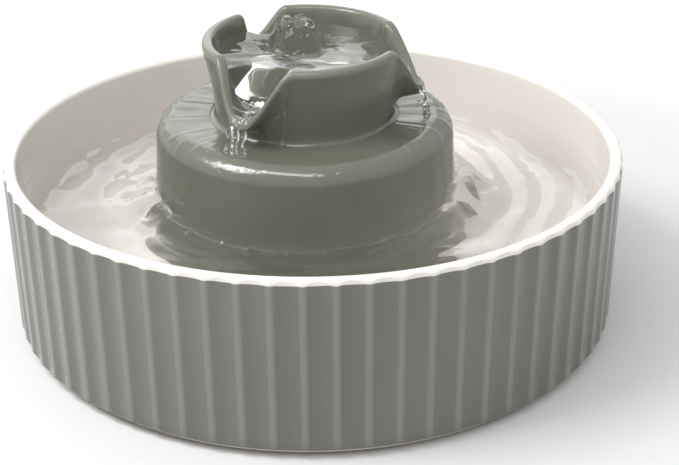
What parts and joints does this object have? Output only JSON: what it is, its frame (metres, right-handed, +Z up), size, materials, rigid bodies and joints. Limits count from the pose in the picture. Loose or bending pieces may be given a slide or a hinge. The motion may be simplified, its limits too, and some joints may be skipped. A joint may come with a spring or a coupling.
{
  "type": "pet water fountain",
  "caption": "Round fluted ceramic pet fountain with a two-tier tower, three pouring lips and a small pump inside.",
  "frame": {"origin": "on the surface that the foot pads stand on, below the centre of the basin", "axes": "+Z up, -Y towards the front, +X to the right seen from the front"},
  "size_m": [0.2498, 0.2498, 0.1193],
  "materials": {
    "basin_glaze": "gloss grey-green glaze outside, white glaze inside and over the rim",
    "tower_glaze": "gloss dark grey-green glaze",
    "clear_silicone": "satin",
    "grey_silicone": "satin",
    "pump_plastic": "satin",
    "rotor_plastic": "satin",
    "cage_plastic": "satin",
    "ferrite": "matt",
    "shaft_ceramic": "polished",
    "core_steel": "satin",
    "copper_wire": "enamelled",
    "board_laminate": "solder mask",
    "resin": "cast",
    "sponge": "open-cell foam",
    "carbon_felt": "felt"
  },
  "bodies": {
    "basin": {"basin": "basin_glaze", "foot_pads": "clear_silicone", "suction_cups": "grey_silicone", "pump_housing": "pump_plastic", "volute_cover": "pump_plastic", "cover_seal": "grey_silicone", "rotor_shaft": "shaft_ceramic", "front_bush": "grey_silicone", "rear_bush": "grey_silicone", "stator_core": "core_steel", "coil_bobbin": "rotor_plastic", "coil_winding": "copper_wire", "driver_board": "board_laminate", "cable_gland": "grey_silicone", "potting_resin": "resin", "riser_tube": "clear_silicone"},
    "tower": {"tower": "tower_glaze", "spout_bush": "grey_silicone"},
    "rotor": {"impeller": "rotor_plastic", "rotor_magnet": "ferrite"},
    "filter": {"filter_cage": "cage_plastic", "intake_sponge": "sponge", "carbon_pad": "carbon_felt"},
    "gate": {"flow_gate": "cage_plastic"}
  },
  "joints": [
    {"name": "tower_lift", "type": "slide", "parent": "basin", "child": "tower", "axis": [0, 0, 1], "range_m": [0, 0.12]},
    {"name": "rotor_spin", "type": "hinge", "parent": "basin", "child": "rotor", "pos_m": [-0.0033, 0, 0.029], "axis": [0, 1, 0], "continuous": true},
    {"name": "filter_pull", "type": "slide", "parent": "basin", "child": "filter", "axis": [0, -1, 0], "range_m": [0, 0.012]},
    {"name": "gate_slide", "type": "slide", "parent": "filter", "child": "gate", "axis": [1, 0, 0], "range_m": [0, 0.006]}
  ]
}
